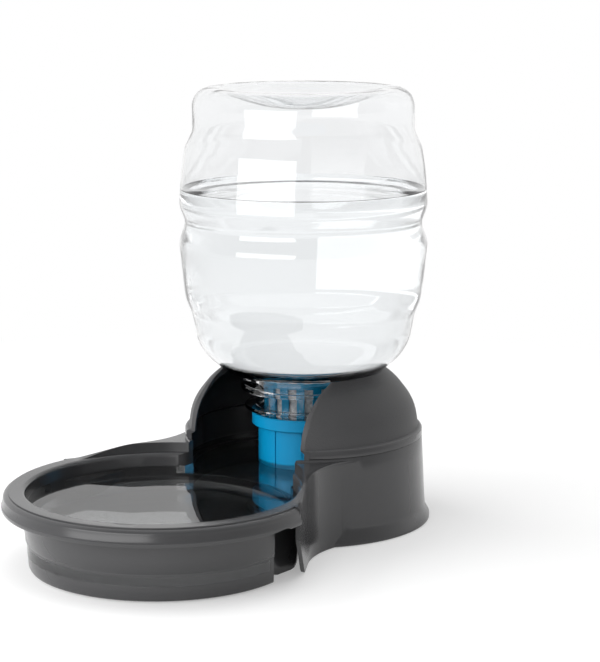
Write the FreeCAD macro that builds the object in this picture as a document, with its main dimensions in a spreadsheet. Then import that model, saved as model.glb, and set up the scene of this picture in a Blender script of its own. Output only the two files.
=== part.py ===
import FreeCAD
import Part
import Sketcher

import math
import os

# A pet water dispenser: a clear bottle stands upside down on a charcoal base,
# its neck and blue cap hang into a well that feeds the drinking bowl in front.
# Millimetres, +Z up, the bowl towards -Y, the origin in the middle of the
# footprint on the floor.

SIZES = {
    # plan of the base
    "bowl_reach": 148.2,            # bottle axis to bowl centre
    "waist_radius": 64.0,           # concave sides between bowl and housing
    "flank_lean": 31.5,             # degrees, how the flanks run in to the waist
    "flank_back": 13.4,             # outer end of a flank behind the bowl centre
    "flank_inset": 0.4,             # and inside the lip
    "shell_wall": 3.0,
    "rim_level": 51.0,              # top of the rim above the floor
    "rim_inner_radius": 91.6,
    "rim_width": 7.2,
    "rim_round": 3.0,
    "skirt_top": 57.6,              # top of the skirt beside the hood
    "skirt_round": 2.0,
    # turned down lip round the front of the bowl
    "lip_overhang": 4.2,
    "lip_edge_level": 39.6,
    "lip_wall": 2.4,
    "lip_bead": 0.5,
    "lip_overlap": 0.5,             # degrees that the lip runs into a flank
    # bowl
    "bowl_inset": 0.6,              # outside of the wall inside the rim's edge
    "bowl_draw": 4.0,               # how much narrower the foot is
    "bowl_step_level": 19.0,
    "bowl_step_depth": 0.9,
    "bowl_floor_level": 5.8,
    "bowl_floor_round": 16.0,
    "bowl_foot_recess": 2.0,
    "bowl_foot_ring": 9.0,
    # grip openings in the skirt, one on each side
    "grip_back": 37.6,              # leg edge behind the bowl centre
    "grip_top_back": 2.7,
    "grip_front": 18.0,             # front end ahead of the bowl centre
    "grip_level": 41.8,
    "grip_round": 14.0,
    "finger_front": 1.5,            # finger recess in the bowl behind a grip
    "finger_depth": 14.0,
    "finger_slant": 12.0,           # how far its slanted front runs back
    "finger_level": 36.0,
    # housing and hood about the bottle axis
    "foot_flare": 5.7,
    "foot_height": 8.2,
    "housing_radius": 82.6,
    "housing_draw": 2.0,            # how much wider it is above the foot
    "groove_level": 59.0,
    "groove_depth": 0.7,
    "ledge_level": 63.4,
    "ledge_step": 2.2,
    "hood_inset": 2.8,
    "hood_wall": 3.0,
    "opening_half": 46.0,           # half width of the hood opening
    "hood_trim": 2.5,               # flat fronts of the hood beside it
    "well_floor_level": 22.0,
    "well_wall": 2.8,
    "trough_round": 12.0,
    # rubber foot pads
    "pad_radius": 7.0,
    "pad_thickness": 2.0,
    "pad_stand": 0.6,               # how far a pad stands out
    "pad_fit": 0.05,
    "boss_radius": 9.5,
    "pad_side": 52.0,
    "pad_front": 26.0,              # front pads ahead of the bowl centre
    "pad_inset": 20.0,              # rear pads inside the housing
    "pad_turn": 35.0,               # degrees behind its sides
    # bottle
    "bottle_wall": 1.2,
    "neck_radius": 33.5,
    "bore_radius": 30.5,
    "lip_level": 69.0,
    "low_ring_radius": 41.0,
    "low_ring_level": 77.5,
    "low_ring_height": 2.6,
    "collar_radius": 43.3,
    "collar_level": 90.8,
    "collar_bead": 3.0,
    "collar_waist": 0.9,
    "shoulder_radius": 44.5,
    "shoulder_level": 102.9,
    "seat_run": 11.0,
    "seat_rise": 2.7,
    "seat_width": 4.0,
    "seat_gap": 0.2,
    "recess_depth": 13.0,           # hollow in the end of the bottle
    "heel_round": 13.0,
    # cap
    "cap_rim_radius": 35.8,
    "cap_rim_level": 66.0,
    "cap_rim_top": 74.6,
    "cap_fit": 0.15,
    "cap_skirt_radius": 31.4,
    "cap_bottom_level": 31.0,
    "cap_wall": 2.4,
    "cap_hole_radius": 14.0,
    "cap_ledge_level": 61.5,
    "cap_ledge_radius": 22.0,
    "cap_slot_width": 0.9,
    "cap_slot_depth": 0.7,
    "cap_slots": 10,
    # filter cage and filter
    "cage_radius": 27.5,
    "cage_wall": 2.2,
    "cage_top_level": 100.5,
    "cage_ring": 4.0,
    "cage_rib_width": 5.2,
    "cage_ribs": 16,
    "cage_floor": 1.8,
    "cage_flange": 1.2,
    "filter_fit": 0.3,
}

# Side of the bottle: how far out from its seat, how far above its shoulder, rounding.
BOTTLE_SIDE = [
    (16.8, 17.0, 32.0), (21.4, 41.7, 25.0), (26.0, 53.3, 30.0), (29.9, 91.6, 14.0),
    (25.2, 104.4, 12.0), (29.5, 116.1, 12.0), (28.1, 140.1, 150.0), (25.3, 156.0, 18.0),
    (20.1, 167.1, 12.0),
]
BOTTLE_TOP = (20.6, 196.1)
RECESS_BENDS = [(0.94, 8.0), (0.38, 90.0)]

# Bends of the hood between its foot and the seat: share of the way in, share of
# the way up, rounding.
HOOD_BENDS = [(0.095, 0.405, 36.0), (0.605, 0.812, 40.0)]

# Ramp of the skirt up to the hood: share of its length and rounding of each bend.
RAMP_BENDS = [(0.1, 40.0), (0.55, 60.0)]

FULL_TURN = 360.0
HALF_TURN = 180.0
NUDGE = 1.0                         # how far a cut runs past a face
TINY = 1e-6

doc = FreeCAD.newDocument("WaterDispenser")
sheet = doc.addObject("Spreadsheet::Sheet", "dims")
for row, (alias, value) in enumerate(SIZES.items(), start=1):
    sheet.set("A%d" % row, alias)
    sheet.set("B%d" % row, str(value))
    sheet.setAlias("B%d" % row, alias)
doc.recompute()


def size(alias):
    return float(sheet.get(alias))


RIM_EDGE = size("rim_inner_radius") + size("rim_width")
LIP = RIM_EDGE + size("lip_overhang")
FOOT_RADIUS = size("housing_radius") + size("foot_flare")
AXIS_Y = (size("bowl_reach") + LIP + size("lip_bead") - FOOT_RADIUS) / 2
BOWL_Y = AXIS_Y - size("bowl_reach")
LIP_TEXT = "(dims.rim_inner_radius + dims.rim_width + dims.lip_overhang)"
FOOT_TEXT = "(dims.housing_radius + dims.foot_flare)"
AXIS_TEXT = "(dims.bowl_reach + %s + dims.lip_bead - %s) / 2" % (LIP_TEXT, FOOT_TEXT)
BOWL_TEXT = AXIS_TEXT + " - dims.bowl_reach"
SEAT_RADIUS = size("shoulder_radius") + size("seat_run")


def vec(x, y, z=0.0):
    return FreeCAD.Vector(x, y, z)


def new_body(name, on_axis):
    body = doc.addObject("PartDesign::Body", name)
    body.Label = name
    if on_axis:
        body.setExpression("Placement.Base.y", AXIS_TEXT)
    return body


def plane(body, role):
    return next(item for item in body.Origin.OriginFeatures if item.Role == role)


def add_sketch(body, role, name, shift=None, expression=None):
    """A sketch on a plane of the body, its origin moved by shift in its own axes."""
    sketch = body.newObject("Sketcher::SketchObject", name)
    sketch.AttachmentSupport = (plane(body, role), [""])
    sketch.MapMode = "FlatFace"
    if shift is not None:
        sketch.AttachmentOffset = FreeCAD.Placement(vec(*shift), FreeCAD.Rotation())
    if expression is not None:
        sketch.setExpression("AttachmentOffset.Base.z", expression)
    return sketch


def draw(sketch, corners, close=True):
    """Straight runs between the corners; a third value rounds a corner."""
    count = len(corners)
    ends = []
    for index, corner in enumerate(corners):
        here = vec(*corner[:2])
        start = stop = here
        if len(corner) == 3:
            back = (vec(*corners[index - 1][:2]) - here).normalize()
            ahead = (vec(*corners[(index + 1) % count][:2]) - here).normalize()
            half_angle = back.getAngle(ahead) / 2
            start = here + back * (corner[2] / math.tan(half_angle))
            stop = here + ahead * (corner[2] / math.tan(half_angle))
            inward = (back + ahead).normalize()
            middle = here + inward * (corner[2] / math.sin(half_angle) - corner[2])
            sketch.addGeometry(Part.Arc(start, middle, stop), False)
        ends.append((start, stop))
    for index in range(count if close else count - 1):
        start = ends[index][1]
        stop = ends[(index + 1) % count][0]
        if start.distanceToPoint(stop) > TINY:
            sketch.addGeometry(Part.LineSegment(start, stop), False)


def moved_path(corners, distance):
    """The same open path moved sideways, towards the axis for one drawn upwards."""
    normals = []
    for start, stop in zip(corners, corners[1:]):
        length = math.hypot(stop[0] - start[0], stop[1] - start[1])
        normals.append(((start[1] - stop[1]) / length, (stop[0] - start[0]) / length))
    moved = []
    for index, corner in enumerate(corners):
        before = normals[max(index - 1, 0)]
        after = normals[min(index, len(normals) - 1)]
        share = distance / (1 + before[0] * after[0] + before[1] * after[1])
        x = corner[0] + share * (before[0] + after[0])
        y = corner[1] + share * (before[1] + after[1])
        if len(corner) == 2:
            moved.append((x, y))
        else:
            left_turn = before[0] * after[1] - before[1] * after[0] > 0
            moved.append((x, y, corner[2] - distance if left_turn else corner[2] + distance))
    return moved


def mirrored(corners):
    return [(-corner[0],) + tuple(corner[1:]) for corner in corners]


def draw_circle(sketch, x, y, alias):
    index = sketch.addGeometry(Part.Circle(vec(x, y), vec(0, 0, 1), size(alias)), False)
    name = "%s_%d" % (alias, index)
    sketch.addConstraint(Sketcher.Constraint("Radius", index, size(alias)))
    sketch.renameConstraint(sketch.ConstraintCount - 1, name)
    sketch.setExpression("Constraints." + name, "dims." + alias)


def revolve(body, kind, name, sketch, angle=FULL_TURN):
    """Turns a side view about the sketch's upright axis, to both sides when partial."""
    feature = body.newObject("PartDesign::" + kind, name)
    feature.Profile = sketch
    feature.ReferenceAxis = (sketch, ["V_Axis"])
    feature.Midplane = angle < FULL_TURN
    feature.Angle = angle
    doc.recompute()
    return feature


def pad(body, name, sketch, length):
    feature = body.newObject("PartDesign::Pad", name)
    feature.Profile = sketch
    feature.setExpression("Length", length)
    doc.recompute()
    return feature


def pocket(body, name, sketch, length, reverse, both_ways=False):
    before = body.Shape.Volume
    feature = body.newObject("PartDesign::Pocket", name)
    feature.Profile = sketch
    feature.setExpression("Length", length)
    feature.Reversed = reverse
    feature.Midplane = both_ways
    doc.recompute()
    if body.Shape.Volume >= before:
        raise RuntimeError(name + " cuts nothing")
    return feature


def copies(body, name, feature, sketch, count):
    pattern = body.newObject("PartDesign::PolarPattern", name)
    pattern.Originals = [feature]
    pattern.Axis = (sketch, ["N_Axis"])
    pattern.Angle = FULL_TURN
    pattern.setExpression("Occurrences", count)
    body.Tip = pattern
    doc.recompute()
    return pattern


FLANK_LEAN = math.radians(size("flank_lean"))
FLANK_FACING = vec(math.cos(FLANK_LEAN), math.sin(FLANK_LEAN))
FLANK_ALONG = vec(math.sin(FLANK_LEAN), -math.cos(FLANK_LEAN))


def flank_end(inset):
    """Outer end of the flank beside the bowl, on the circle of the flank ends."""
    circle = LIP - size("flank_inset")
    start = vec(math.sqrt(circle ** 2 - size("flank_back") ** 2), size("flank_back"))
    start -= FLANK_FACING * inset
    lead = start.dot(FLANK_ALONG)
    run = -lead + math.sqrt(lead ** 2 - start.dot(start) + (circle - inset) ** 2)
    return start + FLANK_ALONG * run + vec(0, BOWL_Y)


def waist_centre():
    """Centre of the arc that touches the flank and the housing from outside."""
    start = flank_end(0.0) + FLANK_FACING * size("waist_radius") - vec(0, AXIS_Y)
    lead = start.dot(FLANK_ALONG)
    reach = size("housing_radius") + size("waist_radius")
    run = -lead + math.sqrt(lead ** 2 - start.dot(start) + reach ** 2)
    return start + FLANK_ALONG * run + vec(0, AXIS_Y)


def outline(sketch, inset):
    """Plan of the skirt: bowl arc, straight flanks, concave waists, housing arc."""
    centre = waist_centre()
    waist_radius = size("waist_radius") + inset
    housing_radius = size("housing_radius") - inset
    end = flank_end(inset)
    to_housing = (vec(0, AXIS_Y) - centre).normalize()
    low = centre - FLANK_FACING * waist_radius
    high = centre + to_housing * waist_radius
    middle = centre + (to_housing - FLANK_FACING).normalize() * waist_radius
    front = vec(0, BOWL_Y - end.distanceToPoint(vec(0, BOWL_Y)))
    rear = vec(0, AXIS_Y + housing_radius)
    for side in (1, -1):
        points = [vec(side * point.x, point.y) for point in (end, low, middle, high)]
        sketch.addGeometry(Part.LineSegment(points[0], points[1]), False)
        sketch.addGeometry(Part.Arc(points[1], points[2], points[3]), False)
    sketch.addGeometry(Part.Arc(vec(-end.x, end.y), front, end), False)
    sketch.addGeometry(Part.Arc(high, rear, vec(-high.x, high.y)), False)


def seat_level(radius):
    """Level of the underside of the bottle at a radius on its seat."""
    slope = size("seat_rise") / size("seat_run")
    return size("shoulder_level") + (radius - size("shoulder_radius")) * slope


# The base is one moulding: skirt, bowl, trough, well and hood.
base = new_body("base", False)

stand = size("pad_stand")
sketch = add_sketch(base, "XY_Plane", "skirt_plan", (0, 0, size("skirt_top")), "dims.skirt_top")
outline(sketch, 0.0)
skirt = pad(base, "skirt", sketch, "dims.skirt_top - dims.pad_stand")
skirt.Reversed = True
doc.recompute()

# Above the rim level the skirt keeps only a ramp that climbs to the hood.
rim = size("rim_level")
half = size("opening_half")
hood_radius = size("housing_radius") - size("hood_inset")
ramp_start = flank_end(0.0).y
ramp_end = AXIS_Y - math.sqrt(hood_radius ** 2 - half ** 2)
ramp_run = ramp_end - ramp_start
far_front = BOWL_Y - LIP - NUDGE * 2
sketch = add_sketch(base, "YZ_Plane", "ramp_side")
draw(sketch, [
    (far_front, rim),
    (ramp_start + ramp_run * RAMP_BENDS[0][0], rim, RAMP_BENDS[0][1]),
    (ramp_start + ramp_run * RAMP_BENDS[1][0], size("skirt_top"), RAMP_BENDS[1][1]),
    (ramp_end, size("skirt_top")),
    (ramp_end, size("skirt_top") + NUDGE),
    (far_front, size("skirt_top") + NUDGE),
])
ramp = pocket(base, "ramp", sketch, LIP_TEXT + " * 3", False, both_ways=True)

# Round the top edges of the flanks and waists.
top_edges = []
for index, edge in enumerate(base.Shape.Edges, start=1):
    middle = edge.valueAt((edge.FirstParameter + edge.LastParameter) / 2)
    faces = base.Shape.ancestorsOfType(edge, Part.Face)
    normals = [abs(face.normalAt(*face.Surface.parameter(middle)).z) for face in faces]
    on_top = middle.z > rim - TINY and min(normals) < 0.5 < max(normals)
    if on_top and middle.y > ramp_start:
        top_edges.append("Edge%d" % index)
rounding = base.newObject("PartDesign::Fillet", "skirt_rounding")
rounding.Base = (ramp, top_edges)
rounding.setExpression("Radius", "dims.skirt_round")
doc.recompute()

# Room for the lip, ahead of the two flanks.
flank_turn = math.degrees(math.asin(size("flank_back") / (LIP - size("flank_inset"))))
sketch = add_sketch(base, "YZ_Plane", "lip_room_side", (BOWL_Y, 0, 0))
sketch.setExpression("AttachmentOffset.Base.x", BOWL_TEXT)
draw(sketch, mirrored([
    (RIM_EDGE, -NUDGE),
    (LIP * 2, -NUDGE),
    (LIP * 2, size("skirt_top")),
    (RIM_EDGE, size("skirt_top")),
]))
revolve(base, "Groove", "lip_room", sketch, HALF_TURN + flank_turn * 2)

# Outside of the housing and the hood as one solid.
hood_foot = (hood_radius, size("ledge_level") + size("ledge_step"))
hood_top = (SEAT_RADIUS, seat_level(SEAT_RADIUS) - size("seat_gap"))
hood_side = [hood_foot]
for inward, upward, round_radius in HOOD_BENDS:
    hood_side.append((
        hood_foot[0] + (hood_top[0] - hood_foot[0]) * inward,
        hood_foot[1] + (hood_top[1] - hood_foot[1]) * upward,
        round_radius,
    ))
hood_side.append(hood_top)
housing = size("housing_radius")
sketch = add_sketch(base, "YZ_Plane", "housing_side", (AXIS_Y, 0, 0))
sketch.setExpression("AttachmentOffset.Base.x", AXIS_TEXT)
draw(sketch, hood_side + [
    (0, hood_top[1]),
    (0, stand),
    (FOOT_RADIUS, stand),
    (FOOT_RADIUS, stand + size("pad_thickness")),
    (housing + size("housing_draw") + 0.6, size("foot_height")),
    (housing + size("housing_draw"), size("foot_height") * 2),
    (housing, size("groove_level") - size("groove_depth") * 2),
    (housing - size("groove_depth"), size("groove_level")),
    (housing, size("groove_level") + size("groove_depth")),
    (housing, size("ledge_level")),
    (housing - size("groove_depth"), size("ledge_level") + size("ledge_step") / 2),
])
revolve(base, "Revolution", "housing", sketch)

# Hollow from below, the walls of the skirt and the rim stay.
wall = size("shell_wall")
sketch = add_sketch(base, "XY_Plane", "under_plan")
outline(sketch, wall)
pocket(base, "under", sketch, "dims.rim_level - dims.shell_wall", True)

# Turned down lip round the front of the bowl.
bead = size("lip_bead")
edge_level = size("lip_edge_level")
lip_wall = size("lip_wall")
sketch = add_sketch(base, "YZ_Plane", "lip_side", (BOWL_Y, 0, 0))
sketch.setExpression("AttachmentOffset.Base.x", BOWL_TEXT)
draw(sketch, mirrored([
    (RIM_EDGE + 0.9, rim - 0.9),
    (LIP - 0.9, rim - 1.7, 3.0),
    (LIP - 0.2, edge_level + 3.4),
    (LIP + bead, edge_level + 2.4),
    (LIP + bead, edge_level + 0.8),
    (LIP, edge_level),
    (LIP - lip_wall, edge_level),
    (LIP - lip_wall - 0.8, rim - 6.0),
    (RIM_EDGE - 1.0, rim - wall),
    (RIM_EDGE - wall - NUDGE, rim - wall),
    (RIM_EDGE - wall - NUDGE, rim),
    (RIM_EDGE - 0.4, rim),
    (RIM_EDGE, rim - 0.9),
]))
lip_turn = HALF_TURN + (flank_turn + size("lip_overlap")) * 2
revolve(base, "Revolution", "lip", sketch, lip_turn)

# The skirt ends in a leg on each side; an arch leads from it into the lip.
leg = BOWL_Y + size("grip_back")
sketch = add_sketch(base, "YZ_Plane", "grip_side")
draw(sketch, [
    (leg, -NUDGE),
    (BOWL_Y + size("grip_top_back"), size("grip_level"), size("grip_round")),
    (BOWL_Y - size("grip_front"), edge_level),
    (far_front, edge_level),
    (far_front, -NUDGE),
])
pocket(base, "grips", sketch, LIP_TEXT + " * 3", False, both_ways=True)

# Bowl, first as a solid.
step = size("bowl_step_level")
depth = size("bowl_step_depth")
recess = size("bowl_foot_recess")
bowl_top = size("rim_inner_radius") - size("bowl_inset")
foot = bowl_top - size("bowl_draw")
sketch = add_sketch(base, "YZ_Plane", "bowl_side", (BOWL_Y, 0, 0))
sketch.setExpression("AttachmentOffset.Base.x", BOWL_TEXT)
draw(sketch, [
    (0, stand + recess),
    (foot - size("bowl_foot_ring"), stand + recess),
    (foot - size("bowl_foot_ring") + recess, stand),
    (foot - 2.2, stand),
    (foot - 0.7, stand + 0.7),
    (foot, stand + 2.2),
    (foot + 0.8, step - 0.6),
    (foot + 0.8 + depth, step + 0.6),
    (bowl_top, rim - 6.0),
    (bowl_top, rim),
    (0, rim),
])
revolve(base, "Revolution", "bowl", sketch)

# Well under the hood and the trough to the bowl, first as solids.
well_level = size("well_floor_level")
well_wall = size("well_wall")
sketch = add_sketch(base, "XY_Plane", "well_plan", (0, 0, well_level - well_wall),
                    "dims.well_floor_level - dims.well_wall")
circle = Part.Circle(vec(0, AXIS_Y), vec(0, 0, 1), housing - NUDGE)
sketch.addGeometry(circle, False)
pad(base, "well", sketch, "dims.rim_level - dims.well_floor_level + dims.well_wall")
sketch = add_sketch(base, "XY_Plane", "trough_plan", (0, 0, well_level - well_wall),
                    "dims.well_floor_level - dims.well_wall")
draw(sketch, [
    (-half - well_wall, BOWL_Y),
    (half + well_wall, BOWL_Y),
    (half + well_wall, AXIS_Y),
    (-half - well_wall, AXIS_Y),
])
pad(base, "trough", sketch, "dims.rim_level - dims.well_floor_level + dims.well_wall")

# Bosses for the foot pads.
pad_turn = math.radians(size("pad_turn"))
rear_pad_radius = housing - size("pad_inset")
rear_pad_y = AXIS_Y + rear_pad_radius * math.sin(pad_turn)
spots = [
    (-size("pad_side"), BOWL_Y - size("pad_front")),
    (size("pad_side"), BOWL_Y - size("pad_front")),
    (-rear_pad_radius * math.cos(pad_turn), rear_pad_y),
    (rear_pad_radius * math.cos(pad_turn), rear_pad_y),
]
sketch = add_sketch(base, "XY_Plane", "rear_boss_plan", (0, 0, stand), "dims.pad_stand")
for x, y in spots[2:]:
    draw_circle(sketch, x, y, "boss_radius")
pad(base, "rear_bosses", sketch, "dims.well_floor_level - dims.pad_stand - dims.well_wall / 2")
sketch = add_sketch(base, "XY_Plane", "front_boss_plan", (0, 0, stand), "dims.pad_stand")
for x, y in spots[:2]:
    draw_circle(sketch, x, y, "boss_radius")
pad(base, "front_bosses", sketch, "dims.bowl_floor_level - dims.pad_stand - dims.pad_fit")

# Inside of the bowl.
floor = size("bowl_floor_level")
curve = size("bowl_floor_round")
inner_top = bowl_top - wall
inner_low = foot + depth - wall
sketch = add_sketch(base, "YZ_Plane", "bowl_inside", (BOWL_Y, 0, 0))
sketch.setExpression("AttachmentOffset.Base.x", BOWL_TEXT)
draw(sketch, [
    (0, floor),
    (inner_low, floor, curve),
    (inner_top, rim, size("rim_round")),
    (size("rim_inner_radius"), rim),
    (size("rim_inner_radius"), size("skirt_top") + NUDGE),
    (0, size("skirt_top") + NUDGE),
])
revolve(base, "Groove", "bowl_hollow", sketch)

# A recess for the fingers behind each grip, its wall stands inside the bowl.
finger_side = bowl_top - size("finger_depth")
finger_front = BOWL_Y + size("finger_front")


def finger_plan(sketch, side_x, front_y, radius):
    """Room between the bowl's wall, a flat side and a slanted front, on both sides."""
    near = math.sqrt(radius ** 2 - (front_y - BOWL_Y) ** 2)
    far = math.sqrt(radius ** 2 - side_x ** 2)
    bulge = (math.atan2(far, side_x) + math.atan2(front_y - BOWL_Y, near)) / 2
    for side in (1, -1):
        sketch.addGeometry(Part.Arc(
            vec(side * near, front_y),
            vec(side * radius * math.cos(bulge), BOWL_Y + radius * math.sin(bulge)),
            vec(side * side_x, BOWL_Y + far)), False)
        draw(sketch, [
            (side * side_x, BOWL_Y + far),
            (side * side_x, front_y + size("finger_slant")),
            (side * near, front_y),
        ], close=False)


sketch = add_sketch(base, "XY_Plane", "finger_wall_plan", (0, 0, floor - NUDGE),
                    "dims.bowl_floor_level - %s" % NUDGE)
finger_plan(sketch, finger_side - wall, finger_front - wall, inner_low + wall / 2)
pad(base, "finger_walls", sketch, "dims.finger_level + dims.shell_wall - dims.bowl_floor_level")
sketch = add_sketch(base, "XY_Plane", "finger_recess_plan")
finger_plan(sketch, finger_side, finger_front, bowl_top + NUDGE)
pocket(base, "finger_recesses", sketch, "dims.finger_level", True)

# Inside of the well and the hood.
inner_hood = moved_path(hood_side, size("hood_wall"))
seat_inner = SEAT_RADIUS - size("seat_width")
well_radius = housing - wall
sketch = add_sketch(base, "YZ_Plane", "hood_inside", (AXIS_Y, 0, 0))
sketch.setExpression("AttachmentOffset.Base.x", AXIS_TEXT)
inner_hood[-1] = (seat_inner, seat_level(seat_inner) - size("hood_wall"))
draw(sketch, inner_hood + [
    (seat_inner, seat_level(seat_inner) - size("seat_gap")),
    (SEAT_RADIUS + NUDGE, seat_level(SEAT_RADIUS + NUDGE) - size("seat_gap")),
    (SEAT_RADIUS + NUDGE, seat_level(SEAT_RADIUS) + NUDGE * 4),
    (0, seat_level(SEAT_RADIUS) + NUDGE * 4),
    (0, well_level),
    (well_radius, well_level, 6.0),
    (well_radius, size("ledge_level") - 1.0),
])
revolve(base, "Groove", "well_hollow", sketch)

# Trough between bowl and well, its corners at the bowl rounded.
corner = size("trough_round")
bowl_in = inner_top
centre_x = half + corner
centre_y = BOWL_Y + math.sqrt((bowl_in + corner) ** 2 - centre_x ** 2)
pull = corner / (bowl_in + corner)
touch = (centre_x * (1 - pull), centre_y - (centre_y - BOWL_Y) * pull)
turn = (math.atan2(touch[1] - centre_y, touch[0] - centre_x) + math.pi * 3) / 2
turn = turn if turn > math.pi / 2 else turn + math.pi
middle = (centre_x + corner * math.cos(turn), centre_y + corner * math.sin(turn))
sketch = add_sketch(base, "XY_Plane", "trough_inside", (0, 0, well_level), "dims.well_floor_level")
for side in (1, -1):
    sketch.addGeometry(Part.Arc(vec(side * half, centre_y), vec(side * middle[0], middle[1]),
                                vec(side * touch[0], touch[1])), False)
    draw(sketch, [(side * half, AXIS_Y), (side * half, centre_y)], close=False)
    draw(sketch, [(side * touch[0], touch[1]), (0, BOWL_Y)], close=False)
draw(sketch, [(-half, AXIS_Y), (half, AXIS_Y)], close=False)
pocket(base, "trough_hollow", sketch, "dims.skirt_top", True)

# The hood is open at the front between two upright planes.
sketch = add_sketch(base, "XY_Plane", "hood_front", (0, 0, rim), "dims.rim_level")
draw(sketch, [
    (-half, AXIS_Y),
    (half, AXIS_Y),
    (half, BOWL_Y),
    (-half, BOWL_Y),
])
pocket(base, "hood_opening", sketch, "dims.shoulder_level", True)

# Beside the opening the hood has narrow upright fronts.
front_line = []
for corner in hood_side:
    depth_there = math.sqrt(corner[0] ** 2 - half ** 2) - size("hood_trim")
    front_line.append((AXIS_Y - depth_there,) + tuple(corner[1:]))
sketch = add_sketch(base, "YZ_Plane", "hood_fronts_side")
draw(sketch, front_line + [
    (front_line[-1][0], hood_top[1] + NUDGE * 4),
    (BOWL_Y, hood_top[1] + NUDGE * 4),
    (BOWL_Y, size("skirt_top") + NUDGE),
    (front_line[0][0], size("skirt_top") + NUDGE),
])
pocket(base, "hood_fronts", sketch, LIP_TEXT + " * 3", False, both_ways=True)

# Recesses for the foot pads.
sketch = add_sketch(base, "XY_Plane", "pad_recess")
for x, y in spots:
    circle = Part.Circle(vec(x, y), vec(0, 0, 1), size("pad_radius") + size("pad_fit"))
    sketch.addGeometry(circle, False)
pocket(base, "pad_recesses", sketch, "dims.pad_thickness", True)

# Rubber foot pads.
pads = []
for index, (x, y) in enumerate(spots, start=1):
    foot_pad = new_body("foot_pad_%d" % index, False)
    foot_pad.Placement = FreeCAD.Placement(vec(x, y), FreeCAD.Rotation())
    sketch = add_sketch(foot_pad, "XY_Plane", "pad_plan_%d" % index)
    draw_circle(sketch, 0, 0, "pad_radius")
    pad(foot_pad, "pad_disc_%d" % index, sketch, "dims.pad_thickness")
    pads.append(foot_pad)

# The bottle, upside down, with the two rings on its neck.
bottle = new_body("bottle", True)
bottle_wall = size("bottle_wall")
neck = size("neck_radius")
bore = size("bore_radius")
low = size("low_ring_level")
low_top = low + size("low_ring_height")
low_radius = size("low_ring_radius")
collar = size("collar_radius")
collar_low = size("collar_level")
collar_bead = size("collar_bead")
waist = size("collar_waist")
shoulder = (size("shoulder_radius"), size("shoulder_level"))
seat = (SEAT_RADIUS, seat_level(SEAT_RADIUS))
side = [(SEAT_RADIUS + out, shoulder[1] + up, bend) for out, up, bend in BOTTLE_SIDE]
top_radius = SEAT_RADIUS + BOTTLE_TOP[0]
top_level = shoulder[1] + BOTTLE_TOP[1]
top_flat = top_radius - size("heel_round")
recess_level = top_level - size("recess_depth")
outer = [seat] + side + [
    (top_radius, top_level, size("heel_round")),
    (top_flat * RECESS_BENDS[0][0], top_level, RECESS_BENDS[0][1]),
    (top_flat * RECESS_BENDS[1][0], recess_level, RECESS_BENDS[1][1]),
    (0, recess_level),
]
inner = moved_path(outer, bottle_wall)
sketch = add_sketch(bottle, "XZ_Plane", "bottle_side")
draw(sketch, outer + inner[::-1] + [
    (bore + 3.0, shoulder[1] + bottle_wall + 0.6),
    (bore, shoulder[1] - 1.4),
    (bore, size("lip_level")),
    (neck, size("lip_level")),
    (neck, low),
    (low_radius - 0.8, low),
    (low_radius, low + 0.8),
    (low_radius, low_top - 0.8),
    (low_radius - 0.8, low_top),
    (neck, low_top),
    (neck, collar_low),
    (collar - 0.8, collar_low),
    (collar, collar_low + 0.8),
    (collar, collar_low + collar_bead),
    (collar - waist, collar_low + collar_bead + waist),
    (collar - waist, shoulder[1] - collar_bead),
    (collar - 0.2, shoulder[1] - collar_bead + waist),
    (collar - 0.2, shoulder[1] - 0.7),
    shoulder,
])
revolve(bottle, "Revolution", "bottle_turned", sketch)

# The cap: a rim round the end of the neck and a slotted skirt into the well.
cap = new_body("cap", True)
rim_low = size("cap_rim_level")
skirt_radius = size("cap_skirt_radius")
skirt_inner = skirt_radius - size("cap_wall")
bottom = size("cap_bottom_level")
fit = size("cap_fit")
ledge = size("cap_ledge_level")
sketch = add_sketch(cap, "XZ_Plane", "cap_side")
draw(sketch, [
    (size("cap_hole_radius"), bottom),
    (skirt_radius - 1.0, bottom),
    (skirt_radius, bottom + 1.0),
    (skirt_radius, rim_low),
    (size("cap_rim_radius") - 0.8, rim_low),
    (size("cap_rim_radius"), rim_low + 0.8),
    (size("cap_rim_radius"), size("cap_rim_top") - 0.6),
    (size("cap_rim_radius") - 0.6, size("cap_rim_top")),
    (neck + fit, size("cap_rim_top")),
    (neck + fit, size("lip_level") - fit),
    (skirt_inner, size("lip_level") - fit),
    (skirt_inner, ledge),
    (size("cap_ledge_radius"), ledge),
    (size("cap_ledge_radius"), ledge - size("cap_wall")),
    (skirt_inner, ledge - size("cap_wall")),
    (skirt_inner, bottom + size("cap_wall")),
    (size("cap_hole_radius"), bottom + size("cap_wall")),
])
revolve(cap, "Revolution", "cap_turned", sketch)
slot_half = size("cap_slot_width") / 2
slot_in = skirt_radius - size("cap_slot_depth")
sketch = add_sketch(cap, "XY_Plane", "slot_plan", (0, 0, bottom - NUDGE),
                    "dims.cap_bottom_level - %s" % NUDGE)
draw(sketch, [
    (-slot_half, -skirt_radius - NUDGE),
    (slot_half, -skirt_radius - NUDGE),
    (slot_half, -slot_in),
    (-slot_half, -slot_in),
])
slot = pocket(cap, "slot", sketch, "dims.cap_rim_level - dims.cap_bottom_level + %s" % NUDGE, True)
copies(cap, "slots", slot, sketch, "dims.cap_slots")

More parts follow.
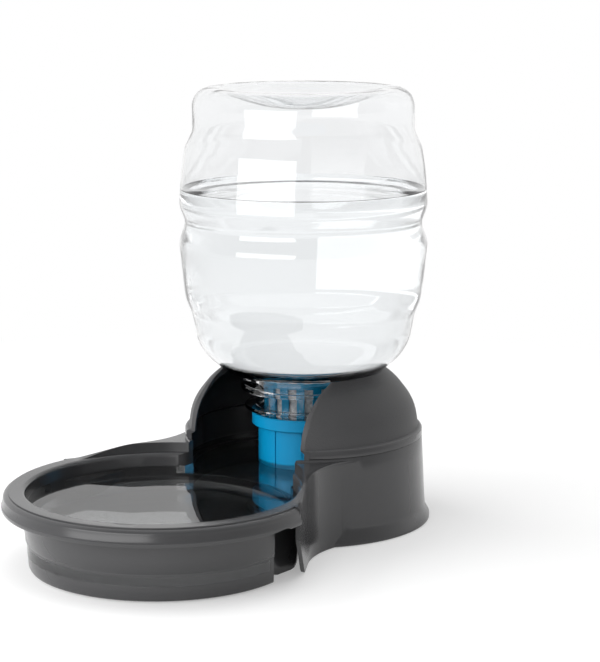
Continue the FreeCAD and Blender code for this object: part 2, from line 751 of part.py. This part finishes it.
# The filter cage: a ribbed basket that stands in the cap and inside the neck.
cage = new_body("filter_cage", True)
cage_radius = size("cage_radius")
cage_inner = cage_radius - size("cage_wall")
cage_top = size("cage_top_level")
cage_floor = size("cage_floor")
sketch = add_sketch(cage, "XZ_Plane", "cage_side")
draw(sketch, [
    (0, ledge),
    (cage_radius + size("cage_flange"), ledge),
    (cage_radius + size("cage_flange"), ledge + cage_floor),
    (cage_radius, ledge + cage_floor),
    (cage_radius, cage_top - 1.0),
    (cage_radius - 1.0, cage_top),
    (0, cage_top),
    (0, cage_top - cage_floor),
    (cage_inner, cage_top - cage_floor),
    (cage_inner, ledge + cage_floor),
    (0, ledge + cage_floor),
])
revolve(cage, "Revolution", "cage_turned", sketch)
window_turn = math.pi / size("cage_ribs") - size("cage_rib_width") / 2 / cage_radius
window_half = cage_radius * math.sin(window_turn)
window_low = ledge + size("cage_ring")
sketch = add_sketch(cage, "XY_Plane", "window_plan", (0, 0, window_low),
                    "dims.cap_ledge_level + dims.cage_ring")
draw(sketch, [
    (-window_half, -cage_radius - NUDGE),
    (window_half, -cage_radius - NUDGE),
    (window_half, -cage_inner * math.cos(window_turn) + NUDGE),
    (-window_half, -cage_inner * math.cos(window_turn) + NUDGE),
])
window = pocket(cage, "window", sketch,
                "dims.cage_top_level - dims.cap_ledge_level - 2 * dims.cage_ring", True)
copies(cage, "windows", window, sketch, "dims.cage_ribs")

# The filter fills the cage.
filter_body = new_body("filter", True)
filter_low = ledge + cage_floor
filter_top = cage_top - cage_floor - size("filter_fit")
filter_radius = cage_inner - size("filter_fit")
sketch = add_sketch(filter_body, "XZ_Plane", "filter_side")
draw(sketch, [
    (0, filter_low),
    (filter_radius, filter_low),
    (filter_radius, filter_top - 1.0),
    (filter_radius - 1.0, filter_top),
    (0, filter_top),
])
revolve(filter_body, "Revolution", "filter_turned", sketch)

doc.recompute()
for item in doc.Objects:
    if "Invalid" in item.State or "Error" in item.State:
        raise RuntimeError(item.Name + " has failed")

os.makedirs("parts", exist_ok=True)
for body in [base, bottle, cap, cage, filter_body] + pads:
    shape = body.Shape
    if shape.isNull() or not shape.isValid() or len(shape.Solids) != 1:
        raise RuntimeError(body.Label + " is not one sound solid")
    shape.exportStep(os.path.join("parts", body.Label + ".step"))
    box = shape.BoundBox
    print(body.Label, round(shape.Volume / 1000, 1), "cm3",
          [round(value, 1) for value in (box.XMin, box.XMax, box.YMin, box.YMax, box.ZMin, box.ZMax)])
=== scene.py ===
import math

import bmesh
import bpy
from mathutils import Matrix, Vector


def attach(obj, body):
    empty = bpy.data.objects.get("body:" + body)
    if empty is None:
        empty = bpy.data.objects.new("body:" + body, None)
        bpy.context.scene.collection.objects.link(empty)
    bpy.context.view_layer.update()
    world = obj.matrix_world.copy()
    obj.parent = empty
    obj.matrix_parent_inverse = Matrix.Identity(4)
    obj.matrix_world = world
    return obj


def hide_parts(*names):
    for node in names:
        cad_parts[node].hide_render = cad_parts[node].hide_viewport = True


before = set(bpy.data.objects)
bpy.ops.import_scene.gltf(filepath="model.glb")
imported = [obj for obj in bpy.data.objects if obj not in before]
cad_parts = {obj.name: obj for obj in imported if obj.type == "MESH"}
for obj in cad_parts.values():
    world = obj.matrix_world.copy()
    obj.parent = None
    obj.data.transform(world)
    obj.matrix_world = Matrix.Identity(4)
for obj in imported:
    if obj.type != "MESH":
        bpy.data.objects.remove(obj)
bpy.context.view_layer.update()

# Places in metres, the same as in the frame.
AXIS_Y = 0.0817                 # bottle, neck, cap and hood
BOWL_Y = -0.0665                # centre of the bowl
HOOD_LEDGE = 0.0642             # grained above it, satin below
LEDGE_FADE = 0.0012             # height over which one finish turns to the other
TURN_STEPS = 160
ARC_STEP = math.radians(4.5)
SMOOTH_ANGLE = math.radians(32)
BOTTLE_SMOOTH_ANGLE = math.radians(40)

# Side of the bottle from its seat to the middle of its end: radius, level, rounding.
BOTTLE_SIDE = [
    (0.0555, 0.1056), (0.0723, 0.1199, 0.032), (0.0769, 0.1446, 0.025), (0.0815, 0.1562, 0.030),
    (0.0854, 0.1945, 0.014), (0.0807, 0.2073, 0.012), (0.0850, 0.2190, 0.012),
    (0.0836, 0.2430, 0.150), (0.0808, 0.2589, 0.018), (0.0756, 0.2700, 0.012),
    (0.0761, 0.2990, 0.013), (0.0593, 0.2990, 0.008), (0.0240, 0.2860, 0.090), (0.0, 0.2860),
]
# The neck from its inside over its end and back up its flange and collar: radius, level.
NECK_SIDE = [
    (0.0335, 0.1047), (0.0305, 0.1015), (0.0305, 0.0690), (0.0335, 0.0690), (0.0335, 0.0775),
    (0.0402, 0.0775), (0.0410, 0.0783), (0.0410, 0.0793), (0.0402, 0.0801), (0.0335, 0.0801),
    (0.0335, 0.0908), (0.0425, 0.0908), (0.0433, 0.0916), (0.0433, 0.0938), (0.0424, 0.0947),
    (0.0424, 0.0999), (0.0431, 0.1008), (0.0431, 0.1022), (0.0445, 0.1029),
]
BOTTLE_WALL = 0.0012

# Water in the bottle, from the top of the neck to its surface.
WATER_GAP = 0.00015             # to the wall around it
WATER_FOOT_LEVEL = 0.1072
WATER_FOOT_RADIUS = 0.0355
WATER_TOP_LEVEL = 0.2300
CREEP_OUT = 0.0001              # the rim of the surface climbs the wall
CREEP_UP = 0.0008
CREEP_IN = 0.0012

# Water in the bowl, the trough and the well.
POOL_LEVEL = 0.0422
BOWL_WATER_RADIUS = 0.0877
BOWL_WATER_FLOOR = 0.0105
WELL_WATER_RADIUS = 0.0795
CHANNEL_FLOOR = 0.0224
TROUGH_HALF_WIDTH = 0.0459
# Plan of the right finger recess from the centre of the bowl, and its top.
RECESS_PLAN = [(0.0755, 0.0120), (0.0953, -0.0060), (0.0953, 0.0600), (0.0755, 0.0600)]
RECESS_TOP = 0.0375

# Colours and grain.
CHARCOAL_TINTS = ((0.038, 0.038, 0.040, 1.0), (0.046, 0.046, 0.048, 1.0))
CAP_TINTS = ((0.0, 0.225, 0.45, 1.0), (0.002, 0.25, 0.49, 1.0))
CAGE_TINTS = ((0.0, 0.26, 0.50, 1.0), (0.002, 0.29, 0.54, 1.0))
FIBRE_TINTS = ((0.42, 0.42, 0.43, 1.0), (0.86, 0.85, 0.84, 1.0))
RUBBER_TINTS = ((0.02, 0.02, 0.02, 1.0), (0.04, 0.04, 0.04, 1.0))
CLEAR_TINT = (0.955, 0.96, 0.965, 1.0)
WATER_TINT = (0.97, 0.985, 0.99, 1.0)
WHITE = (1.0, 1.0, 1.0, 1.0)
BLACK = (0.0, 0.0, 0.0, 1.0)
PAPER = (0.66, 0.66, 0.66, 1.0)
GRAIN_SIZE = 1100.0             # grains in a metre
GRAINED_ROUGHNESS = 0.52
SATIN_ROUGHNESS = (0.17, 0.25)
CLEAR_IOR = 1.46
WATER_IOR = 1.333

# Stage: the paper glows white away from the part, so that its edge isn't seen.
FLOOR_HALF_SIZE = 6.0
PAPER_NEAR = 0.28               # distance from the middle of the part
PAPER_FAR = 0.75
PAPER_NEAR_GLOW = 0.32
BACKDROP_WAY = (-0.61, 0.79, 0.0)   # the room is darker on the camera's side
DARK_SIDE = 0.45
ROOM_LIGHT = 0.46
LAMP_AIM = (0, 0, 0.1)

# Camera, from the fit to the photograph.
CAMERA_TURN = math.radians(37.74)
CAMERA_PITCH = math.radians(10.61)
CAMERA_DISTANCE = 1.4293        # from the bottle's axis, on plan
CAMERA_HEIGHT = 0.3983
FOCAL_PIXELS = 2100.0
SHIFT_PIXELS = -3.5
FRAME_PIXELS = 662.0            # the frame's longer side
SENSOR = 36.0


# Materials


def new_material(name):
    material = bpy.data.materials.new(name)
    material.use_nodes = True
    return material, material.node_tree, material.node_tree.nodes["Principled BSDF"]


def link(tree, source, target):
    tree.links.new(source, target)


def socket(tree, name, kind, direction, value=None):
    item = tree.interface.new_socket(name=name, in_out=direction, socket_type="NodeSocket" + kind)
    if value is not None:
        item.default_value = value


def add_noise(tree, vector, scale, detail):
    node = tree.nodes.new("ShaderNodeTexNoise")
    node.inputs["Scale"].default_value = scale
    node.inputs["Detail"].default_value = detail
    link(tree, vector, node.inputs["Vector"])
    return node


def calculate(tree, operation, first, second):
    node = tree.nodes.new("ShaderNodeMath")
    node.operation = operation
    link(tree, first, node.inputs[0])
    link(tree, second, node.inputs[1])
    return node.outputs[0]


def span(tree, source, low, high, out_low, out_high):
    node = tree.nodes.new("ShaderNodeMapRange")
    node.inputs["From Min"].default_value = low
    node.inputs["From Max"].default_value = high
    node.inputs["To Min"].default_value = out_low
    node.inputs["To Max"].default_value = out_high
    link(tree, source, node.inputs["Value"])
    return node.outputs["Result"]


def colour_mix(tree, factor, tints):
    node = tree.nodes.new("ShaderNodeMix")
    node.data_type = "RGBA"
    node.inputs[6].default_value, node.inputs[7].default_value = tints
    link(tree, factor, node.inputs[0])
    return node.outputs[2]


def add_bump(tree, shader, height, strength, distance):
    bump = tree.nodes.new("ShaderNodeBump")
    bump.inputs["Strength"].default_value = strength
    bump.inputs["Distance"].default_value = distance
    link(tree, height, bump.inputs["Height"])
    link(tree, bump.outputs["Normal"], shader.inputs["Normal"])


def grain_group():
    """Fine moulded grain: a height, and a broad mottle for the colour."""
    tree = bpy.data.node_groups.new("moulded_grain", "ShaderNodeTree")
    socket(tree, "Vector", "Vector", "INPUT")
    socket(tree, "Grain Size", "Float", "INPUT", GRAIN_SIZE)
    socket(tree, "Height", "Float", "OUTPUT")
    socket(tree, "Mottle", "Float", "OUTPUT")
    ins = tree.nodes.new("NodeGroupInput")
    outs = tree.nodes.new("NodeGroupOutput")
    fine = add_noise(tree, ins.outputs["Vector"], GRAIN_SIZE, 3.0)
    fine.inputs["Roughness"].default_value = 0.65
    cells = tree.nodes.new("ShaderNodeTexVoronoi")
    cells.feature = "SMOOTH_F1"
    cells.inputs["Smoothness"].default_value = 0.6
    link(tree, ins.outputs["Vector"], cells.inputs["Vector"])
    for node in (fine, cells):
        link(tree, ins.outputs["Grain Size"], node.inputs["Scale"])
    height = calculate(tree, "MULTIPLY", fine.outputs["Fac"], cells.outputs["Distance"])
    link(tree, height, outs.inputs["Height"])
    broad = add_noise(tree, ins.outputs["Vector"], 28.0, 4.0)
    link(tree, broad.outputs["Fac"], outs.inputs["Mottle"])
    return tree


def handling_group():
    """Faint smears from hands and wiping, as a mask from 0 to 1."""
    tree = bpy.data.node_groups.new("handling_marks", "ShaderNodeTree")
    socket(tree, "Vector", "Vector", "INPUT")
    socket(tree, "Marks", "Float", "OUTPUT")
    ins = tree.nodes.new("NodeGroupInput")
    outs = tree.nodes.new("NodeGroupOutput")
    smear = add_noise(tree, ins.outputs["Vector"], 11.0, 5.0)
    smear.inputs["Roughness"].default_value = 0.6
    smear.inputs["Distortion"].default_value = 0.6
    link(tree, smear.outputs["Fac"], outs.inputs["Marks"])
    return tree


GRAIN = grain_group()
HANDLING = handling_group()


def add_group(tree, group, coordinates):
    node = tree.nodes.new("ShaderNodeGroup")
    node.node_tree = group
    link(tree, coordinates.outputs["Object"], node.inputs["Vector"])
    return node


def base_plastic():
    """Charcoal plastic: grained and matte on the hood, satin below the ledge."""
    material, tree, shader = new_material("charcoal_plastic_look")
    place = tree.nodes.new("ShaderNodeTexCoord")
    grain = add_group(tree, GRAIN, place)
    marks = add_group(tree, HANDLING, place)
    parts = tree.nodes.new("ShaderNodeSeparateXYZ")
    link(tree, place.outputs["Object"], parts.inputs[0])
    on_hood = span(tree, parts.outputs["Z"], HOOD_LEDGE, HOOD_LEDGE + LEDGE_FADE, 0.0, 1.0)
    link(tree, colour_mix(tree, grain.outputs["Mottle"], CHARCOAL_TINTS), shader.inputs["Base Color"])
    rough = tree.nodes.new("ShaderNodeMix")
    link(tree, on_hood, rough.inputs[0])
    link(tree, span(tree, marks.outputs["Marks"], 0.25, 0.75, *SATIN_ROUGHNESS), rough.inputs[2])
    rough.inputs[3].default_value = GRAINED_ROUGHNESS
    link(tree, rough.outputs[0], shader.inputs["Roughness"])
    shader.inputs["Specular IOR Level"].default_value = 0.6
    share = span(tree, on_hood, 0.0, 1.0, 0.06, 1.0)
    height = calculate(tree, "MULTIPLY", grain.outputs["Height"], share)
    add_bump(tree, shader, height, strength=0.55, distance=0.0004)
    return material


def blue_plastic(name, tints):
    """Blue injection plastic with a soft sheen."""
    material, tree, shader = new_material(name)
    place = tree.nodes.new("ShaderNodeTexCoord")
    grain = add_group(tree, GRAIN, place)
    marks = add_group(tree, HANDLING, place)
    link(tree, colour_mix(tree, grain.outputs["Mottle"], tints), shader.inputs["Base Color"])
    link(tree, span(tree, marks.outputs["Marks"], 0.2, 0.9, 0.32, 0.45), shader.inputs["Roughness"])
    shader.inputs["Specular IOR Level"].default_value = 0.35
    add_bump(tree, shader, grain.outputs["Height"], strength=0.12, distance=0.0003)
    return material


def clear_plastic():
    """Blown clear plastic with slight waves in the wall."""
    material, tree, shader = new_material("clear_bottle_look")
    shader.inputs["Base Color"].default_value = CLEAR_TINT
    shader.inputs["Transmission Weight"].default_value = 1.0
    shader.inputs["IOR"].default_value = CLEAR_IOR
    place = tree.nodes.new("ShaderNodeTexCoord")
    marks = add_group(tree, HANDLING, place)
    link(tree, span(tree, marks.outputs["Marks"], 0.3, 1.0, 0.0, 0.06), shader.inputs["Roughness"])
    wave = add_noise(tree, place.outputs["Object"], 26.0, 2.0)
    add_bump(tree, shader, wave.outputs["Fac"], strength=0.35, distance=0.0012)
    return material


def water_look():
    """Clear water with a nearly still surface."""
    material, tree, shader = new_material("water_look")
    shader.inputs["Base Color"].default_value = WATER_TINT
    shader.inputs["Transmission Weight"].default_value = 1.0
    shader.inputs["IOR"].default_value = WATER_IOR
    shader.inputs["Roughness"].default_value = 0.0
    place = tree.nodes.new("ShaderNodeTexCoord")
    ripple = add_noise(tree, place.outputs["Object"], 9.0, 1.0)
    add_bump(tree, shader, ripple.outputs["Fac"], strength=0.03, distance=0.002)
    return material


def fibre_look():
    """Whitish fibre of the filter with grey granules behind it."""
    material, tree, shader = new_material("filter_fibre_look")
    place = tree.nodes.new("ShaderNodeTexCoord")
    fuzz = add_noise(tree, place.outputs["Object"], 420.0, 6.0)
    granules = span(tree, fuzz.outputs["Fac"], 0.3, 0.7, 0.0, 1.0)
    link(tree, colour_mix(tree, granules, FIBRE_TINTS), shader.inputs["Base Color"])
    shader.inputs["Roughness"].default_value = 0.9
    add_bump(tree, shader, fuzz.outputs["Fac"], strength=0.6, distance=0.0006)
    return material


def rubber_look():
    """Dark matte rubber of the pads."""
    material, tree, shader = new_material("pad_rubber_look")
    place = tree.nodes.new("ShaderNodeTexCoord")
    grain = add_group(tree, GRAIN, place)
    link(tree, colour_mix(tree, grain.outputs["Mottle"], RUBBER_TINTS), shader.inputs["Base Color"])
    shader.inputs["Roughness"].default_value = 0.8
    return material


CHARCOAL = base_plastic()
BLUE = blue_plastic("blue_cap_look", CAP_TINTS)
BLUE_CAGE = blue_plastic("blue_cage_look", CAGE_TINTS)
CLEAR = clear_plastic()
WATER = water_look()
FIBRE = fibre_look()
RUBBER = rubber_look()


# Shapes


def finish_object(name, mesh, material, smooth_angle=SMOOTH_ANGLE):
    made = bpy.data.objects.new(name, mesh)
    bpy.context.scene.collection.objects.link(made)
    mesh.materials.clear()
    mesh.materials.append(material)
    mesh.shade_smooth()
    mesh.set_sharp_from_angle(angle=smooth_angle)
    return made


def build_base():
    """A welded copy of the base that takes smooth shading."""
    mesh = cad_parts["base"].data.copy()
    shape = bmesh.new()
    shape.from_mesh(mesh)
    bmesh.ops.remove_doubles(shape, verts=shape.verts, dist=1e-6)
    bmesh.ops.dissolve_degenerate(shape, edges=shape.edges, dist=1e-6)
    shape.to_mesh(mesh)
    shape.free()
    for attribute in [item.name for item in mesh.attributes if "custom_normal" in item.name]:
        mesh.attributes.remove(mesh.attributes[attribute])
    made = finish_object("base_moulding", mesh, CHARCOAL)
    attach(made, "root")
    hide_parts("base")


def turned(name, profile, material):
    """A closed ring or plug turned about the bottle's axis from (radius, level) points."""
    shape = bmesh.new()
    points = [shape.verts.new((radius, 0.0, level)) for radius, level in profile]
    edges = [shape.edges.new(pair) for pair in zip(points, points[1:])]
    if profile[0][0] > 0.0 or profile[-1][0] > 0.0:
        edges.append(shape.edges.new((points[-1], points[0])))
    bmesh.ops.spin(shape, geom=points + edges, axis=(0, 0, 1), cent=(0, 0, 0),
                   angle=math.tau, steps=TURN_STEPS, use_merge=True)
    bmesh.ops.remove_doubles(shape, verts=shape.verts, dist=1e-6)
    bmesh.ops.recalc_face_normals(shape, faces=shape.faces)
    bmesh.ops.translate(shape, verts=shape.verts, vec=(0, AXIS_Y, 0))
    mesh = bpy.data.meshes.new(name)
    shape.to_mesh(mesh)
    shape.free()
    return finish_object(name, mesh, material, BOTTLE_SMOOTH_ANGLE)


def rounded_path(corners):
    """Points along straight runs and the tangent arcs that round the corners."""
    path = []
    for index, corner in enumerate(corners):
        here = Vector(corner[:2])
        if len(corner) == 2:
            path.append(tuple(here))
            continue
        back = (Vector(corners[index - 1][:2]) - here).normalized()
        ahead = (Vector(corners[index + 1][:2]) - here).normalized()
        half_angle = back.angle(ahead) / 2
        centre = here + (back + ahead).normalized() * (corner[2] / math.sin(half_angle))
        first = here + back * (corner[2] / math.tan(half_angle)) - centre
        sweep = math.pi - 2 * half_angle
        turn = sweep if back.x * ahead.y - back.y * ahead.x < 0 else -sweep
        steps = max(2, math.ceil(sweep / ARC_STEP))
        for step in range(steps + 1):
            path.append(tuple(centre + Matrix.Rotation(turn * step / steps, 2) @ first))
    return path


def moved_path(corners, distance):
    """The corners moved towards the axis by the distance, with their rounding kept true."""
    normals = []
    for start, stop in zip(corners, corners[1:]):
        run = (Vector(stop[:2]) - Vector(start[:2])).normalized()
        normals.append(Vector((-run.y, run.x)))
    moved = []
    for index, corner in enumerate(corners):
        before = normals[max(index - 1, 0)]
        after = normals[min(index, len(normals) - 1)]
        place = Vector(corner[:2]) + (before + after) * (distance / (1 + before.dot(after)))
        if len(corner) == 2:
            moved.append(tuple(place))
        else:
            left_turn = before.x * after.y - before.y * after.x > 0
            moved.append((*place, corner[2] - distance if left_turn else corner[2] + distance))
    return moved


def build_bottle():
    """The clear shell: its outside, back down its inside, and round the neck."""
    outside = rounded_path(BOTTLE_SIDE)
    inside = rounded_path(moved_path(BOTTLE_SIDE, BOTTLE_WALL))
    made = turned("bottle_shell", outside + inside[::-1] + NECK_SIDE, CLEAR)
    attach(made, "root")
    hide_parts("bottle")


def build_bottle_water():
    """Water from the top of the neck up to its level, a hair inside the wall."""
    side = rounded_path(moved_path(BOTTLE_SIDE, BOTTLE_WALL + WATER_GAP))
    side = [point for point in side if WATER_FOOT_LEVEL < point[1] < WATER_TOP_LEVEL]
    foot = [(0.0, WATER_FOOT_LEVEL), (WATER_FOOT_RADIUS, WATER_FOOT_LEVEL)]
    rim_radius = side[-1][0]
    top = [(rim_radius + CREEP_OUT, WATER_TOP_LEVEL + CREEP_UP),
           (rim_radius - CREEP_IN, WATER_TOP_LEVEL), (0.0, WATER_TOP_LEVEL)]
    made = turned("bottle_water", foot + side + top, WATER)
    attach(made, "root")


def prism(name, plan, low, high):
    """An upright block over a plan of (x, y) points."""
    shape = bmesh.new()
    face = shape.faces.new([shape.verts.new((x, y, low)) for x, y in plan])
    lifted = bmesh.ops.extrude_face_region(shape, geom=[face])["geom"]
    top = [item for item in lifted if isinstance(item, bmesh.types.BMVert)]
    bmesh.ops.translate(shape, verts=top, vec=(0, 0, high - low))
    bmesh.ops.recalc_face_normals(shape, faces=shape.faces)
    mesh = bpy.data.meshes.new(name)
    shape.to_mesh(mesh)
    shape.free()
    return finish_object(name, mesh, WATER)


def ring_points(radius, centre_y, count):
    angles = [math.tau * index / count for index in range(count)]
    return [(radius * math.sin(angle), centre_y + radius * math.cos(angle)) for angle in angles]


def build_pool():
    """Water in the bowl, the trough and the well, around the two finger recesses."""
    bowl = prism("bowl_water", ring_points(BOWL_WATER_RADIUS, BOWL_Y, 180), BOWL_WATER_FLOOR, POOL_LEVEL)
    well = prism("pool_well", ring_points(WELL_WATER_RADIUS, AXIS_Y, 160), CHANNEL_FLOOR, POOL_LEVEL)
    trough_plan = [(-TROUGH_HALF_WIDTH, BOWL_Y), (TROUGH_HALF_WIDTH, BOWL_Y),
                   (TROUGH_HALF_WIDTH, AXIS_Y), (-TROUGH_HALF_WIDTH, AXIS_Y)]
    trough = prism("pool_trough", trough_plan, CHANNEL_FLOOR, POOL_LEVEL)
    changes = [(well, "UNION"), (trough, "UNION")]
    for side in (1, -1):
        plan = [(side * x, BOWL_Y + y) for x, y in RECESS_PLAN]
        changes.append((prism("recess", plan, 0.0, RECESS_TOP), "DIFFERENCE"))
    for other, operation in changes:
        step = bowl.modifiers.new("join", "BOOLEAN")
        step.operation = operation
        step.solver = "EXACT"
        step.object = other
    depsgraph = bpy.context.evaluated_depsgraph_get()
    mesh = bpy.data.meshes.new_from_object(bowl.evaluated_get(depsgraph))
    bowl.modifiers.clear()
    bowl.data = mesh
    for other, operation in changes:
        bpy.data.objects.remove(other)
    mesh.shade_smooth()
    mesh.set_sharp_from_angle(angle=SMOOTH_ANGLE)
    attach(bowl, "root")


build_base()
build_bottle()
build_bottle_water()
finishes = [("cap", BLUE), ("filter_cage", BLUE_CAGE), ("filter", FIBRE)]
finishes += [("foot_pad_%d" % number, RUBBER) for number in range(1, 5)]
for node, material in finishes:
    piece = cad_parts[node]
    piece.data.materials.clear()
    piece.data.materials.append(material)
build_pool()


# Stage


def seen_directly(tree):
    """1 for rays that show the background: camera, glossy and transmission rays."""
    path = tree.nodes.new("ShaderNodeLightPath")
    total = path.outputs["Is Camera Ray"]
    for name in ("Is Glossy Ray", "Is Transmission Ray"):
        total = calculate(tree, "MAXIMUM", total, path.outputs[name])
    return total


def build_floor():
    """White paper that takes the shadow near the part and only glows away from it."""
    shape = bmesh.new()
    bmesh.ops.create_grid(shape, x_segments=1, y_segments=1, size=FLOOR_HALF_SIZE)
    mesh = bpy.data.meshes.new("floor")
    shape.to_mesh(mesh)
    shape.free()
    floor = bpy.data.objects.new("floor", mesh)
    bpy.context.scene.collection.objects.link(floor)
    material, tree, shader = new_material("floor_paper")
    shader.inputs["Roughness"].default_value = 1.0
    shader.inputs["Specular IOR Level"].default_value = 0.0
    place = tree.nodes.new("ShaderNodeTexCoord")
    away = tree.nodes.new("ShaderNodeVectorMath")
    away.operation = "LENGTH"
    link(tree, place.outputs["Object"], away.inputs[0])
    far = span(tree, away.outputs["Value"], PAPER_NEAR, PAPER_FAR, 0.0, 1.0)
    link(tree, colour_mix(tree, far, (PAPER, BLACK)), shader.inputs["Base Color"])
    glow = span(tree, far, 0.0, 1.0, PAPER_NEAR_GLOW, 1.0)
    shader.inputs["Emission Color"].default_value = WHITE
    seen_glow = calculate(tree, "MULTIPLY", seen_directly(tree), glow)
    link(tree, seen_glow, shader.inputs["Emission Strength"])
    mesh.materials.append(material)


def build_world():
    """A white room: plain light for the part, and a background that reflections show."""
    world = bpy.data.worlds.new("studio")
    bpy.context.scene.world = world
    world.use_nodes = True
    tree = world.node_tree
    tree.nodes.clear()
    out = tree.nodes.new("ShaderNodeOutputWorld")
    place = tree.nodes.new("ShaderNodeTexCoord")
    facing = tree.nodes.new("ShaderNodeVectorMath")
    facing.operation = "DOT_PRODUCT"
    facing.inputs[1].default_value = BACKDROP_WAY
    link(tree, place.outputs["Generated"], facing.inputs[0])
    room = span(tree, facing.outputs["Value"], -0.5, 0.3, DARK_SIDE, 1.0)
    path = tree.nodes.new("ShaderNodeLightPath")
    background = tree.nodes.new("ShaderNodeBackground")
    background.inputs["Color"].default_value = WHITE
    strength = calculate(tree, "MAXIMUM", room, path.outputs["Is Camera Ray"])
    link(tree, strength, background.inputs["Strength"])
    light = tree.nodes.new("ShaderNodeBackground")
    light.inputs["Color"].default_value = WHITE
    light.inputs["Strength"].default_value = ROOM_LIGHT
    mix = tree.nodes.new("ShaderNodeMixShader")
    link(tree, seen_directly(tree), mix.inputs[0])
    link(tree, light.outputs[0], mix.inputs[1])
    link(tree, background.outputs[0], mix.inputs[2])
    link(tree, mix.outputs[0], out.inputs["Surface"])


def add_lamp(name, place, width, height, power, mirrored=False):
    """A soft lamp. Only a mirrored one shows as a highlight, which keeps the bottle even."""
    data = bpy.data.lights.new(name, "AREA")
    data.shape = "RECTANGLE"
    data.size = width
    data.size_y = height
    data.energy = power
    lamp = bpy.data.objects.new(name, data)
    bpy.context.scene.collection.objects.link(lamp)
    lamp.location = place
    lamp.rotation_euler = (Vector(LAMP_AIM) - Vector(place)).to_track_quat("-Z", "Y").to_euler()
    lamp.visible_glossy = mirrored
    lamp.visible_transmission = mirrored


def build_camera():
    data = bpy.data.cameras.new("photo_camera")
    data.sensor_width = SENSOR
    data.lens = SENSOR * FOCAL_PIXELS / FRAME_PIXELS
    data.shift_x = SHIFT_PIXELS / FRAME_PIXELS
    camera = bpy.data.objects.new("photo_camera", data)
    bpy.context.scene.collection.objects.link(camera)
    camera.location = (CAMERA_DISTANCE * math.sin(CAMERA_TURN),
                       AXIS_Y - CAMERA_DISTANCE * math.cos(CAMERA_TURN), CAMERA_HEIGHT)
    ahead = Vector((-math.sin(CAMERA_TURN) * math.cos(CAMERA_PITCH),
                    math.cos(CAMERA_TURN) * math.cos(CAMERA_PITCH), -math.sin(CAMERA_PITCH)))
    camera.rotation_euler = ahead.to_track_quat("-Z", "Y").to_euler()
    bpy.context.scene.camera = camera


build_floor()
build_world()
build_camera()
add_lamp("key", (-2.0, -0.6, 1.2), width=2.3, height=2.2, power=38.0)
add_lamp("top", (0.1, 0.1, 2.1), width=1.9, height=1.9, power=20.0)
add_lamp("fill", (-0.9, -2.0, 0.7), width=2.0, height=1.2, power=36.0)
add_lamp("front", (0.1, -2.0, 0.5), width=2.2, height=0.9, power=17.0, mirrored=True)
bpy.context.scene.view_settings.view_transform = "Standard"
